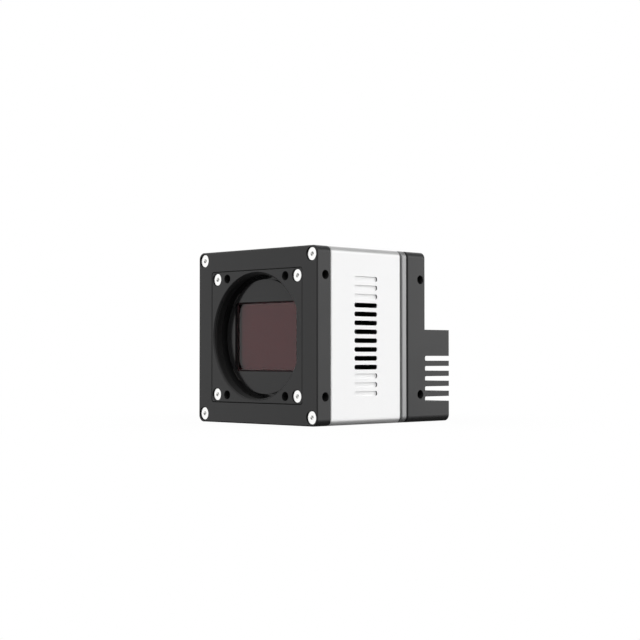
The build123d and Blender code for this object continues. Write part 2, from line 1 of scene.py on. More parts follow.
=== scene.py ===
# %% [markdown]
# # A machine vision camera
#
# This lesson dresses a small industrial camera: a square metal body with a wide lens thread in front, a
# white vented sleeve in the middle and a black finned back. Its solid shapes come from an engineering model
# and stay as they are. Blender adds what such a model leaves out: the finish of each material, the fine
# threads, and a plain studio to look at them in.

# %% Load the engineering model
import json
import math

import bmesh
import bpy
from mathutils import Matrix, Vector


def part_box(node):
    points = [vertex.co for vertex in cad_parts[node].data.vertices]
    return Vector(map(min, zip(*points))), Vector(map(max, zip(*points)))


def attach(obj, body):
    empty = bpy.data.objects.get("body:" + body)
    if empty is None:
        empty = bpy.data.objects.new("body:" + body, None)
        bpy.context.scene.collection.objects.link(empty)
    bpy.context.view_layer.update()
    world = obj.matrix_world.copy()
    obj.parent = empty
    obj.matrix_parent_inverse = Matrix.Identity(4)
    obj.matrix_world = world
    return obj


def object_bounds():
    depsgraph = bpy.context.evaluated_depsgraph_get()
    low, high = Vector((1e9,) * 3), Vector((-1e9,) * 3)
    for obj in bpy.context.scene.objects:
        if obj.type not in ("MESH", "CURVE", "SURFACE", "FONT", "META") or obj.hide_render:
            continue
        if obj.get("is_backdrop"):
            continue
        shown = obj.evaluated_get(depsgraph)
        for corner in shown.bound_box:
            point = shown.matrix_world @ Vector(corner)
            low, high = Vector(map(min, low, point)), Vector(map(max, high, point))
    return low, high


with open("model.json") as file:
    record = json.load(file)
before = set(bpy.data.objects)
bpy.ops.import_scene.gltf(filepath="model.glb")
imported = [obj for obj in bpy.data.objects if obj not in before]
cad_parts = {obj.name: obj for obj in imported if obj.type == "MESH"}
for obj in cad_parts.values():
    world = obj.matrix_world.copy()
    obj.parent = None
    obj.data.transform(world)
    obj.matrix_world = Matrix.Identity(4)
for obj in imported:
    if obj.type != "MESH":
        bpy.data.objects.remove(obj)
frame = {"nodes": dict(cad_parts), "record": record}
model_low, model_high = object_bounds()
mm = 0.001
print("size in mm:", [round(length / mm, 2) for length in model_high - model_low])

# %% [markdown]
# ## The view
#
# The photograph looks at one upright edge of the body, half way between the front and the right side, from
# a little more than half a metre away. The lines that run away from the eye draw together only slightly,
# which asks for a long lens. The camera tips up by a degree and a half, so the upright edges stay nearly
# parallel. Shifting the lens would frame the body too, but a shift is lost in other views, so the camera is
# turned.

# %% Stand the camera at the photograph's place
lens_length = 81.97
sensor_width = 36.0
camera_place = Vector((492.2, -450.5, -9.3)) * mm
camera_turn = math.radians(45)
camera_rise = math.radians(1.445)

photo_lens = bpy.data.cameras.new("photo_camera")
photo_lens.lens = lens_length
photo_lens.sensor_width = sensor_width
photo_camera = bpy.data.objects.new("photo_camera", photo_lens)
photo_camera.location = camera_place
photo_camera.rotation_euler = (math.radians(90) + camera_rise, 0, camera_turn)
bpy.context.scene.collection.objects.link(photo_camera)
bpy.context.scene.camera = photo_camera
bpy.context.scene.view_settings.view_transform = "Standard"
print("camera at", [round(value, 3) for value in camera_place])

# %% [markdown]
# ## The studio
#
# Black metal shows nothing but what it mirrors, so the studio matters more than the colours. In the
# photograph the front mirrors an even grey white, the right side something nearly twice as bright, and the
# narrow bevels that face the eye stay dark, as do the lower edges. That is a dark room with a few large
# glowing panels. The picture's ground is plain white all the same, so the eye is given white wherever it
# sees past the body.
#
# Panels could be area lamps. Here the world itself glows more in some directions than in others, which is
# as soft as a lamp without end and leaves no lamp in the way of other views. Each panel has a foot below
# the level of the table. The front panel reaches far down, so the front of the body is lit evenly. The one
# on the right ends soon, so that side darkens a little towards its lower edge. It also has a head: above it
# the room is dark, and the rounded upper edges of the black parts mirror that as a fine dark line. A high
# panel on the right, which no face mirrors to the eye, gives the white sleeve its light.

# %% Describe the panels of the room
room_white = 1.0
room_dim = 0.06
foot_end = 0.05
head_fade = 0.25
no_head = 1.0
panels = {
    "front left panel": {"towards": (-0.58, -1.0, 0.1), "glow": 1.12, "full": 48, "none": 78, "foot": -0.9},
    "right rear panel": {"towards": (1.0, 1.0, 0.25), "glow": 2.56, "full": 38, "none": 80, "foot": -0.3,
                         "head": 0.3},
    "back left panel": {"towards": (-1.0, 1.0, 0.25), "glow": 1.2, "full": 25, "none": 60, "foot": -0.4},
    "ceiling panel": {"towards": (0.0, 0.0, 1.0), "glow": 0.6, "full": 12, "none": 34, "foot": -0.4},
    "high right panel": {"towards": (1.0, -0.3, 0.8), "glow": 1.34, "full": 15, "none": 45, "foot": -0.4},
}
print("panels:", {name: panel["glow"] for name, panel in panels.items()})

# %% [markdown]
# Blender has no slider for such a room, but its nodes can add, multiply and compare, so the brightness of
# each direction is worked out by a chain of small sums. Two helpers place one sum or one soft step each,
# and a third asks whether a ray comes from the eye. They serve the finishes too.

# %% Make helpers for sums in a node tree


def math_node(tree, operation, first, second):
    """One sum on two values, each a number or a socket."""
    node = tree.nodes.new("ShaderNodeMath")
    node.operation = operation
    for socket, value in zip(node.inputs, (first, second)):
        if isinstance(value, (int, float)):
            socket.default_value = value
        else:
            tree.links.new(value, socket)
    return node.outputs["Value"]


def soft_step(tree, value, low, high, at_low, at_high):
    """Go smoothly from one number to another while a value goes from low to high."""
    node = tree.nodes.new("ShaderNodeMapRange")
    node.interpolation_type = "SMOOTHSTEP"
    tree.links.new(value, node.inputs["Value"])
    for label, number in (("From Min", low), ("From Max", high), ("To Min", at_low), ("To Max", at_high)):
        node.inputs[label].default_value = number
    return node.outputs["Result"]


def seen_directly(tree):
    """1 for what the eye sees, straight or through glass, and 0 for what is mirrored or lights a part."""
    path = tree.nodes.new("ShaderNodeLightPath").outputs
    return math_node(tree, "MAXIMUM", path["Is Camera Ray"], path["Is Transmission Ray"])


print("helpers:", [helper.__name__ for helper in (math_node, soft_step, seen_directly)])

# %% [markdown]
# A panel is a round patch of sky. How near a direction points to its middle is a dot product, and two soft
# steps cut it off at its foot and head. The world then adds up the panels and the dim room, and gives plain
# white to the eye instead.

# %% Build the studio world


def panel_glow(tree, direction, upward, panel):
    """How bright one panel is in a direction: full near its middle, fading at its rim, foot and head."""
    dot = tree.nodes.new("ShaderNodeVectorMath")
    dot.operation = "DOT_PRODUCT"
    dot.inputs[1].default_value = Vector(panel["towards"]).normalized()
    tree.links.new(direction, dot.inputs[0])
    edge, middle = (math.cos(math.radians(panel[angle])) for angle in ("none", "full"))
    round_it = soft_step(tree, dot.outputs["Value"], edge, middle, 0.0, panel["glow"])
    foot = soft_step(tree, upward, panel["foot"], foot_end, 0.0, 1.0)
    head_start = panel.get("head", no_head)
    head = soft_step(tree, upward, head_start, head_start + head_fade, 1.0, 0.0)
    return math_node(tree, "MULTIPLY", round_it, math_node(tree, "MULTIPLY", foot, head))


def studio_world():
    """White for the eye, a dark room with glowing panels for everything else."""
    world = bpy.data.worlds.new("studio_world")
    world.use_nodes = True
    tree = world.node_tree
    tree.nodes.clear()
    direction = tree.nodes.new("ShaderNodeTexCoord").outputs["Generated"]
    parts = tree.nodes.new("ShaderNodeSeparateXYZ")
    tree.links.new(direction, parts.inputs["Vector"])
    strength = room_dim
    for panel in panels.values():
        strength = math_node(tree, "ADD", panel_glow(tree, direction, parts.outputs["Z"], panel), strength)
    mix = tree.nodes.new("ShaderNodeMixShader")
    room = tree.nodes.new("ShaderNodeBackground")
    white = tree.nodes.new("ShaderNodeBackground")
    tree.links.new(strength, room.inputs["Strength"])
    white.inputs["Strength"].default_value = room_white
    for glow in (room, white):
        glow.inputs["Color"].default_value = (1, 1, 1, 1)
    output = tree.nodes.new("ShaderNodeOutputWorld")
    tree.links.new(seen_directly(tree), mix.inputs["Fac"])
    tree.links.new(room.outputs["Background"], mix.inputs[1])
    tree.links.new(white.outputs["Background"], mix.inputs[2])
    tree.links.new(mix.outputs["Shader"], output.inputs["Surface"])
    return world


bpy.context.scene.world = studio_world()
print("world with", len(bpy.context.scene.world.node_tree.nodes), "nodes")

# %% [markdown]
# Every new piece is drawn as a bmesh, which is a mesh that operators can still work on. In the end it
# becomes an object that stands at the origin with its place in its mesh, as the parts of the engineering
# model do.

# %% Turn a drawn shape into an object


def finished_object(name, shape, material):
    """Turn a bmesh into an object at the origin with one material."""
    mesh = bpy.data.meshes.new(name)
    shape.to_mesh(mesh)
    shape.free()
    mesh.materials.append(material)
    piece = bpy.data.objects.new(name, mesh)
    bpy.context.scene.collection.objects.link(piece)
    return piece


# %% [markdown]
# The body stands on a table. To the eye it is white like everything around, but near the body a share of it
# is matt, and that share takes the faint shadow under the base. A real white table would also light the
# lower edges of the body, which are dark in the photograph. So the table is there for the eye alone, and
# what the body mirrors and what lights it are the panels and the dim room beyond.

# %% Lay the table
table_half_size = 1.6
shadow_share = 0.055
shadow_near = 0.05
shadow_far = 0.17
table_colour = (0.9, 0.9, 0.9, 1)
body_centre = (model_low + model_high) / 2


def table_finish():
    """White for the eye, with a matt share round the body that holds the shadow, and clear for all else."""
    material = bpy.data.materials.new("white_table")
    material.use_nodes = True
    tree = material.node_tree
    tree.nodes.clear()
    matt = tree.nodes.new("ShaderNodeBsdfDiffuse")
    matt.inputs["Color"].default_value = table_colour
    away = tree.nodes.new("ShaderNodeVectorMath")
    away.operation = "DISTANCE"
    away.inputs[1].default_value = (body_centre.x, body_centre.y, model_low.z)
    tree.links.new(tree.nodes.new("ShaderNodeTexCoord").outputs["Object"], away.inputs[0])
    glow = tree.nodes.new("ShaderNodeEmission")
    glow.inputs["Color"].default_value = (1, 1, 1, 1)
    glow.inputs["Strength"].default_value = room_white
    clear = tree.nodes.new("ShaderNodeBsdfTransparent")
    for_the_eye = tree.nodes.new("ShaderNodeMixShader")
    mix = tree.nodes.new("ShaderNodeMixShader")
    output = tree.nodes.new("ShaderNodeOutputMaterial")
    white_share = soft_step(tree, away.outputs["Value"], shadow_near, shadow_far, 1 - shadow_share, 1.0)
    tree.links.new(white_share, for_the_eye.inputs["Fac"])
    tree.links.new(matt.outputs["BSDF"], for_the_eye.inputs[1])
    tree.links.new(glow.outputs["Emission"], for_the_eye.inputs[2])
    tree.links.new(seen_directly(tree), mix.inputs["Fac"])
    tree.links.new(clear.outputs["BSDF"], mix.inputs[1])
    tree.links.new(for_the_eye.outputs["Shader"], mix.inputs[2])
    tree.links.new(mix.outputs["Shader"], output.inputs["Surface"])
    return material


table_shape = bmesh.new()
bmesh.ops.create_grid(table_shape, x_segments=1, y_segments=1, size=table_half_size)
bmesh.ops.translate(table_shape, vec=(0, 0, model_low.z), verts=table_shape.verts)
table = finished_object("white_table", table_shape, table_finish())
table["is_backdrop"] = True
print("table at height", round(model_low.z, 4))

# %% [markdown]
# ## Finishes
#
# Nearly every part of the camera is a plain industrial finish: anodised or bead-blasted aluminium, powder
# coating, moulded plastic, rubber. What makes them look real is the same in each: tiny grain, a roughness
# that wanders a little, and a colour that isn't quite even. That is one node group with named inputs, built
# once and placed in each material with its own values.

# %% Make helpers for groups and noise


def new_group(name, inputs, outputs):
    """An empty node group with the sockets that are asked for, as name: (kind, value)."""
    group = bpy.data.node_groups.new(name, "ShaderNodeTree")
    for label, (kind, value) in inputs.items():
        socket = group.interface.new_socket(label, in_out="INPUT", socket_type=kind)
        if value is not None:
            socket.default_value = value
    for label, kind in outputs.items():
        group.interface.new_socket(label, in_out="OUTPUT", socket_type=kind)
    return group, group.nodes.new("NodeGroupInput"), group.nodes.new("NodeGroupOutput")


def noise(tree, place, scale, detail, fineness=0.5):
    """A noise texture read at a place, with its scale a number or a socket."""
    node = tree.nodes.new("ShaderNodeTexNoise")
    node.inputs["Detail"].default_value = detail
    node.inputs["Roughness"].default_value = fineness
    tree.links.new(place, node.inputs["Vector"])
    if isinstance(scale, (int, float)):
        node.inputs["Scale"].default_value = scale
    else:
        tree.links.new(scale, node.inputs["Scale"])
    return node.outputs["Fac"]


print("groups before the first finish:", len(bpy.data.node_groups))

# %% [markdown]
# Two noises do the work. Fine grain roughens the surface, and broad clouds about two centimetres wide let
# colour and roughness wander. Each is shifted to swing round zero first, so that the average stays what was
# asked for.

# %% Build the group for grain, colour drift and roughness
grain_detail, grain_fineness = 3.0, 0.6
clouds_per_metre, cloud_detail = 55.0, 4.0
noise_middle = 0.5


def build_surface_group():
    """Grain for the bump, a roughness that wanders and a colour that drifts."""
    inputs = {
        "Place": ("NodeSocketVector", None),
        "Colour": ("NodeSocketColor", (0.5, 0.5, 0.5, 1)),
        "Colour drift": ("NodeSocketFloat", 0.1),
        "Roughness": ("NodeSocketFloat", 0.5),
        "Roughness drift": ("NodeSocketFloat", 0.1),
        "Grains per metre": ("NodeSocketFloat", 4000.0),
    }
    outputs = {"Colour": "NodeSocketColor", "Roughness": "NodeSocketFloat", "Height": "NodeSocketFloat"}
    group, given, made = new_group("surface_detail", inputs, outputs)
    grain = noise(group, given.outputs["Place"], given.outputs["Grains per metre"],
                  grain_detail, grain_fineness)
    cloud = noise(group, given.outputs["Place"], clouds_per_metre, cloud_detail)
    drift = math_node(group, "SUBTRACT", cloud, noise_middle)
    speck = math_node(group, "SUBTRACT", grain, noise_middle)

    lighter = math_node(group, "MULTIPLY", drift, given.outputs["Colour drift"])
    grainy = math_node(group, "MULTIPLY", speck, given.outputs["Colour drift"])
    level = math_node(group, "ADD", math_node(group, "ADD", lighter, grainy), 1.0)
    tint = group.nodes.new("ShaderNodeVectorMath")
    tint.operation = "SCALE"
    group.links.new(given.outputs["Colour"], tint.inputs["Vector"])
    group.links.new(level, tint.inputs["Scale"])

    wander = math_node(group, "MULTIPLY", drift, given.outputs["Roughness drift"])
    fine = math_node(group, "MULTIPLY", speck, given.outputs["Roughness drift"])
    rough = math_node(group, "ADD", math_node(group, "ADD", wander, fine), given.outputs["Roughness"])
    group.links.new(tint.outputs["Vector"], made.inputs["Colour"])
    group.links.new(rough, made.inputs["Roughness"])
    group.links.new(grain, made.inputs["Height"])
    return group


surface_group = build_surface_group()
print("group", surface_group.name, "with", len(surface_group.nodes), "nodes")

# %% [markdown]
# A finish is then a short recipe: a colour, a roughness, how far both wander, how fine the grain is and how
# deep it stands. Values that are the same all over a part, such as how metallic it is, are set on the
# shader itself.

# %% Write the recipe for a finish


def object_place(tree):
    """The place on the object, in metres, that every pattern reads."""
    return tree.nodes.new("ShaderNodeTexCoord").outputs["Object"]


def side_and_up(tree):
    """How far a point lies from the middle to the side, and how far up or down."""
    parts = tree.nodes.new("ShaderNodeSeparateXYZ")
    tree.links.new(object_place(tree), parts.inputs["Vector"])
    return [math_node(tree, "ABSOLUTE", parts.outputs[axis], 0.0) for axis in "XZ"]


def blend(tree, factor, at_zero, at_one):
    """Go from one colour to another by a factor. Each is a colour or a socket."""
    node = tree.nodes.new("ShaderNodeMix")
    node.data_type = "RGBA"
    tree.links.new(factor, next(socket for socket in node.inputs if socket.type == "VALUE"))
    colour_sockets = [socket for socket in node.inputs if socket.type == "RGBA"]
    for socket, colour in zip(colour_sockets, (at_zero, at_one)):
        if isinstance(colour, tuple):
            socket.default_value = (*colour, 1)
        else:
            tree.links.new(colour, socket)
    return next(socket for socket in node.outputs if socket.type == "RGBA")


def finish(name, colour, roughness, metallic=0.0, drift=0.08, rough_drift=0.1, grains=4000.0,
           depth=0.004, bump=0.3, shine=0.5):
    """A material with the shared surface detail. Depth is the grain's height in millimetres."""
    material = bpy.data.materials.new(name)
    material.use_nodes = True
    tree = material.node_tree
    shader = tree.nodes["Principled BSDF"]
    shader.inputs["Metallic"].default_value = metallic
    shader.inputs["Specular IOR Level"].default_value = shine
    detail = tree.nodes.new("ShaderNodeGroup")
    detail.name = "detail"
    detail.node_tree = surface_group
    detail.inputs["Colour"].default_value = (*colour, 1)
    detail.inputs["Colour drift"].default_value = drift
    detail.inputs["Roughness"].default_value = roughness
    detail.inputs["Roughness drift"].default_value = rough_drift
    detail.inputs["Grains per metre"].default_value = grains
    relief = tree.nodes.new("ShaderNodeBump")
    relief.name = "relief"
    relief.inputs["Strength"].default_value = bump
    relief.inputs["Distance"].default_value = depth * mm
    tree.links.new(object_place(tree), detail.inputs["Place"])
    tree.links.new(detail.outputs["Colour"], shader.inputs["Base Color"])
    tree.links.new(detail.outputs["Roughness"], shader.inputs["Roughness"])
    tree.links.new(detail.outputs["Height"], relief.inputs["Height"])
    tree.links.new(relief.outputs["Normal"], shader.inputs["Normal"])
    return material


finishes = {}

# %% [markdown]
# ### Black anodised aluminium
#
# The front plate, the lens mount and the rear housing are milled, bead-blasted and anodised black.
# Anodising is a thin clear layer of oxide full of dye, so it behaves less like bare metal than like a dark
# satin plastic: nearly black itself, with a soft sheen of the panels round it. That is why it is not
# metallic here. The fine lens thread is painted a little darker and duller, and the small tapped holes
# nearly black, a painted shade for the deep shade inside them.

# %% Mix the black finishes
finishes["black_anodised"] = finish("black_anodised_aluminium", (0.0108, 0.0108, 0.0112), 0.42, shine=0.35,
                                    drift=0.12, rough_drift=0.08, grains=5200.0, depth=0.006)
finishes["black_mask"] = finish("black_sensor_mask", (0.0108, 0.0108, 0.0112), 0.13, shine=0.31,
                                drift=0.1, grains=6500.0, depth=0.003)
finishes["seal_rubber"] = finish("grey_seal_rubber", (0.18, 0.18, 0.18), 0.72, shine=0.3,
                                 grains=2600.0, depth=0.02)
# Nearly black, dull thread finish for the tapped holes: a painted shade for the deep shade inside them.
hole_thread_shade_finish = finish("hole_thread_painted_shade", (0.004, 0.004, 0.004), 0.7, shine=0.12, grains=5200.0)
# Darker, duller finish for the lens thread: a painted shade for the shade inside the bore.
lens_thread_shade_finish = finish("lens_thread_painted_shade", (0.006, 0.006, 0.006), 0.42, shine=0.17, grains=5200.0)
print("black finishes:", list(finishes))

# %% [markdown]
# ### The white sleeve
#
# The sleeve is powder coated white on its outer skin and in the shallow pockets. The walls of the narrow
# vents, the steep rear ends of the pockets and the inside are coloured nearly black, a painted shade for the
# deep shade in them. The floors of the pockets are painted a little darker, a painted shade for the recess.
# The rounded long edges are painted grey, a painted shade for the light those edges miss. One way would be
# to cut the sleeve into pieces with several materials. It is easier to ask each point how far it lies from
# the middle, to the side and up: the larger of the two tells how deep it lies under the skin, and the
# smaller how near to a long edge. How far back it lies tells the ends of the pockets.

# %% Coat the sleeve
coat_white = (0.875, 0.875, 0.875)
# Grey on the rounded long edges of the sleeve: a painted shade for the light those edges miss.
painted_edge_shade_grey = (0.4, 0.4, 0.4)
# Nearly black on the vent walls, the pockets' rear ends and the inside: a painted shade for the deep shade
# there.
painted_vent_shade_black = (0.006, 0.006, 0.006)
coat_depth = 0.35 * mm
pockets_from, pockets_to = 16.0 * mm, 30.0 * mm
floor_depth = 0.95 * mm
# Pocket floors get 93% of the coat and the rest black: a painted shade for the recess.
floor_shade_share = 0.93
ends_from, ends_to = 37.9 * mm, 39.0 * mm
# Depth band of the pockets' rear ends that is painted black as shade.
end_shade_from, end_shade_to = 0.1 * mm, 0.66 * mm
edge_shade_from, edge_shade_to = 37.35 * mm, 38.5 * mm
skin = model_high.x


def between(tree, value, low, high):
    """1 where a value lies between two numbers, else 0."""
    above = math_node(tree, "GREATER_THAN", value, low)
    return math_node(tree, "MULTIPLY", above, math_node(tree, "LESS_THAN", value, high))


def coat_and_shade_mask(tree, side, up):
    """1 where the powder coat lies, a little less on the pocket floors as painted shade, and 0 on the vent
    walls, the pockets' rear ends and the inside, which are painted black as shade.
    """
    depth = math_node(tree, "SUBTRACT", skin, math_node(tree, "MAXIMUM", side, up))
    parts = tree.nodes.new("ShaderNodeSeparateXYZ")
    tree.links.new(object_place(tree), parts.inputs["Vector"])
    on_skin = math_node(tree, "LESS_THAN", depth, coat_depth)
    beyond_vents = math_node(tree, "MAXIMUM", math_node(tree, "GREATER_THAN", up, pockets_from),
                             math_node(tree, "GREATER_THAN", parts.outputs["Y"], ends_to))
    shallow = math_node(tree, "LESS_THAN", depth, floor_depth)
    beyond_vents = math_node(tree, "MULTIPLY", beyond_vents, shallow)
    # The steep rear ends of the pockets are painted black as shade.
    shaded_end_walls = math_node(tree, "MULTIPLY", between(tree, parts.outputs["Y"], ends_from, ends_to),
                          between(tree, depth, end_shade_from, end_shade_to))
    shaded_end_walls = math_node(tree, "MULTIPLY", shaded_end_walls, between(tree, up, pockets_from, pockets_to))
    coated = math_node(tree, "MAXIMUM", on_skin, math_node(tree, "MULTIPLY", beyond_vents, floor_shade_share))
    return math_node(tree, "MULTIPLY", coated, math_node(tree, "SUBTRACT", 1.0, shaded_end_walls))


def sleeve_finish():
    """White powder coat outside, with painted shade: grey on the long edges and nearly black in the vents.
    """
    material = finish("white_powder_coat", coat_white, 0.42, drift=0.02, rough_drift=0.08, grains=900.0,
                      depth=0.012, bump=0.25)
    tree = material.node_tree
    side, up = side_and_up(tree)
    # Blend towards the painted edge shade near the long edges.
    edge_shade_weight = soft_step(tree, math_node(tree, "MINIMUM", side, up), edge_shade_from, edge_shade_to, 0.0, 1.0)
    coat = blend(tree, edge_shade_weight, tree.nodes["detail"].outputs["Colour"], painted_edge_shade_grey)
    colour = blend(tree, coat_and_shade_mask(tree, side, up), painted_vent_shade_black, coat)
    tree.links.new(colour, tree.nodes["Principled BSDF"].inputs["Base Color"])
    return material


finishes["white_coating"] = sleeve_finish()
print("skin of the sleeve at", round(skin / mm, 2), "mm from the middle")

# %% [markdown]
# ### Bare and plated metals
#
# These are true metals, so their colour is the colour of what they mirror. The ring between sleeve and back
# is silver anodised and satin. The screws and the receptacles are plated and bright. The parts inside are
# bare aluminium, steel, iron and brass.

# %% Mix the metals
finishes["silver_anodised"] = finish("silver_anodised_ring", (0.27, 0.27, 0.271), 0.5, metallic=0.9,
                                     drift=0.05, grains=5200.0)
finishes["bare_aluminium"] = finish("bare_aluminium", (0.62, 0.62, 0.63), 0.34, metallic=1.0, grains=2500.0,
                                    depth=0.01)
finishes["bright_screws"] = finish("bright_nickel_screws", (0.86, 0.86, 0.85), 0.2, metallic=1.0,
                                   drift=0.03, grains=9000.0, depth=0.002)
finishes["steel_screws"] = finish("plain_steel", (0.5, 0.5, 0.51), 0.3, metallic=1.0, grains=6000.0)
finishes["brass_spacers"] = finish("turned_brass", (0.72, 0.5, 0.22), 0.28, metallic=1.0, grains=6000.0)
finishes["motor_iron"] = finish("motor_iron", (0.33, 0.32, 0.31), 0.45, metallic=1.0, grains=3000.0,
                                depth=0.01)
finishes["connector_shell"] = finish("plated_connector_shell", (0.72, 0.71, 0.69), 0.24, metallic=1.0,
                                     drift=0.04, grains=8000.0)
print("finishes with the metals:", len(finishes))

# %% [markdown]
# ### Plastics, boards and the sensor
#
# Most of these are inside the body, but the fan shows through the vents and the sensor through its window.

# %% Mix the plastics, boards and sensor parts
finishes["fan_plastic"] = finish("moulded_fan_plastic", (0.018, 0.018, 0.019), 0.45, grains=3500.0,
                                 depth=0.008)
finishes["chip_plastic"] = finish("chip_epoxy", (0.022, 0.022, 0.023), 0.55, grains=5000.0, depth=0.008)
finishes["connector_plastic"] = finish("connector_plastic", (0.015, 0.015, 0.016), 0.5, grains=4000.0)
finishes["connector_insulator"] = finish("receptacle_insulator", (0.78, 0.77, 0.72), 0.4, grains=3000.0)
finishes["thermal_pad"] = finish("grey_thermal_pad", (0.28, 0.3, 0.33), 0.8, grains=1500.0, depth=0.03)
finishes["sensor_ceramic"] = finish("sensor_ceramic", (0.05, 0.045, 0.045), 0.6, grains=7000.0, depth=0.006)
finishes["sensor_silicon"] = finish("sensor_silicon", (0.108, 0.05, 0.062), 0.3, metallic=1.0, drift=0.02,
                                    rough_drift=0.02, grains=900.0, depth=0.0002)
finishes["light_pipe"] = finish("milky_light_pipe", (0.75, 0.77, 0.75), 0.25, grains=2000.0)
print("finishes so far:", len(finishes))

# %% [markdown]
# Circuit boards are green lacquer over copper, and the copper lines show as a slightly lighter green.
# Drawing real lines would be wasted here, so cells of a Voronoi texture with square distances stand for
# them.

# %% Lacquer the circuit boards
board_green = (0.01, 0.06, 0.03)
line_green = (0.03, 0.13, 0.06)
lines_per_metre = 420.0
line_edge = 0.42


def board_finish():
    """Green lacquer with lighter lines."""
    material = finish("green_circuit_board", board_green, 0.3, grains=3000.0)
    tree = material.node_tree
    cells = tree.nodes.new("ShaderNodeTexVoronoi")
    cells.distance = "CHEBYCHEV"
    cells.inputs["Scale"].default_value = lines_per_metre
    tree.links.new(object_place(tree), cells.inputs["Vector"])
    lines = math_node(tree, "GREATER_THAN", cells.outputs["Distance"], line_edge)
    colour = blend(tree, lines, tree.nodes["detail"].outputs["Colour"], line_green)
    tree.links.new(colour, tree.nodes["Principled BSDF"].inputs["Base Color"])
    return material


finishes["circuit_board"] = board_finish()
print("board lines per metre:", lines_per_metre)

# %% [markdown]
# ### The filter glass
#
# Over the sensor lies a pane of filter glass that looks dark wine red. It is real glass in the model, with
# the sensor behind it, so it gets transmission and a tint rather than a painted red. Most of what the eye
# gets from it is a plain mirror image of the front left panel. The pane is coated against reflections, so
# it mirrors less than bare glass, and a lower index of refraction stands for that coating. A thin dark,
# rough border is painted all round the pane's edge, a painted shade for the shadow the window's walls cast
# there.

# %% Make the filter glass
glass_tint = (0.53, 0.2, 0.22)
coated_index = 1.415
# Dark border round the pane: a painted shade for the shadow the window's walls cast on it.
pane_edge_shade_colour = (0.16, 0.07, 0.08)
pane_edge_shade_roughness = 0.8
pane_edge_shade_width = 0.6 * mm
pane_low, pane_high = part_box("cover_glass")


def glass_finish():
    """Tinted clear glass with a very faint waviness and a dark, rough border round its edge as painted
    shade.
    """
    material = finish("wine_red_filter_glass", glass_tint, 0.02, drift=0.01, rough_drift=0.0, grains=200.0,
                      depth=0.0002, bump=0.05)
    tree = material.node_tree
    shader = tree.nodes["Principled BSDF"]
    shader.inputs["IOR"].default_value = coated_index
    shader.inputs["Transmission Weight"].default_value = 1.0
    detail = tree.nodes["detail"].outputs
    side, up = side_and_up(tree)
    # Mask of the painted dark shade border along the pane's edges.
    pane_edge_shade = math_node(tree, "MAXIMUM", math_node(tree, "GREATER_THAN", side, pane_high.x - pane_edge_shade_width),
                     math_node(tree, "GREATER_THAN", up, pane_high.z - pane_edge_shade_width))
    tree.links.new(blend(tree, pane_edge_shade, detail["Colour"], pane_edge_shade_colour), shader.inputs["Base Color"])
    rough = math_node(tree, "ADD", detail["Roughness"], math_node(tree, "MULTIPLY", pane_edge_shade, pane_edge_shade_roughness))
    tree.links.new(rough, shader.inputs["Roughness"])
    return material


finishes["filter_glass"] = glass_finish()
print("pane in mm:", [round(length / mm, 2) for length in pane_high - pane_low])

# %% [markdown]
# ## Dressing the model
#
# The record that comes with the model says which finish each part has. Each part's own material is swapped
# for the one made here. The meshes aren't touched.

# %% Give every part its finish
slot_of = {part["node"]: part["material_slot"] for part in frame["record"]["subparts"]}
for node, part in frame["nodes"].items():
    part.data.materials.clear()
    part.data.materials.append(finishes[slot_of[node]])
print("dressed", len(slot_of), "parts in", len(set(slot_of.values())), "finishes")

# %% [markdown]
# ## Threads
#
# The opening carries a fine thread, 58 mm across with a pitch of three quarters of a millimetre. The model
# has only the plain bore. A thread is one small ridge that winds round the bore, so its section is drawn
# once and spun with a push along the axis at each step. A stack of separate rings would look alike from
# afar, but a close look at the end of a real thread shows where it runs out.

# %% Wind a ridge round a bore
foot_sink = 0.1
foot_half_width, crest_half_width = 0.46, 0.07


def winding_ridge(bore_radius, height, pitch, turns, steps):
    """One thread ridge round the Z axis, from z = 0 upward, with its foot sunk a little into the wall."""
    shape = bmesh.new()
    foot = bore_radius + foot_sink * height
    crest = bore_radius - height
    section = [(foot, -foot_half_width), (crest, -crest_half_width),
               (crest, crest_half_width), (foot, foot_half_width)]
    corners = [shape.verts.new((radius, 0, along * pitch)) for radius, along in section]
    face = shape.faces.new(corners)
    bmesh.ops.spin(shape, geom=[*corners, *face.edges, face], cent=(0, 0, 0), axis=(0, 0, 1),
                   dvec=(0, 0, pitch / steps), angle=2 * math.pi * turns, steps=turns * steps,
                   use_merge=False)
    bmesh.ops.recalc_face_normals(shape, faces=shape.faces)
    return shape


print("a ridge stands on", 2 * foot_half_width, "of its pitch")

# %% [markdown]
# The record gives the lens bore's radius, so the ridge is wound on just that. It starts a little behind the
# front face, where the bore has its lead-in, and its five turns end before the relief.

# %% Cut the lens thread
record_mounts = {mount["name"]: mount for mount in frame["record"]["mounts"]}
lens_bore = record_mounts["lens_thread"]
bore_radius = lens_bore["dims"]["r_mm"] * mm
thread_pitch = 0.75 * mm
thread_height = 0.41 * mm
thread_turns = 5
thread_steps = 160
first_ridge = 0.95 * mm

lens_thread_shape = winding_ridge(bore_radius, thread_height, thread_pitch, thread_turns, thread_steps)
bmesh.ops.rotate(lens_thread_shape, cent=(0, 0, 0), matrix=Matrix.Rotation(math.radians(-90), 3, "X"),
                 verts=lens_thread_shape.verts)
bmesh.ops.translate(lens_thread_shape, vec=(0, first_ridge, 0), verts=lens_thread_shape.verts)
open_edges = [edge for edge in lens_thread_shape.edges if not edge.is_manifold]
lens_thread = finished_object("lens_thread", lens_thread_shape, lens_thread_shade_finish)
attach(lens_thread, "camera")
print("lens thread:", len(lens_thread.data.polygons), "faces,", len(open_edges), "open edges")

# %% [markdown]
# The tapped holes in the front and in the four sides have threads as well. The record gives each pattern's
# middle, direction and spacing, so the places are worked out from it and one ridge is copied to all of
# them.

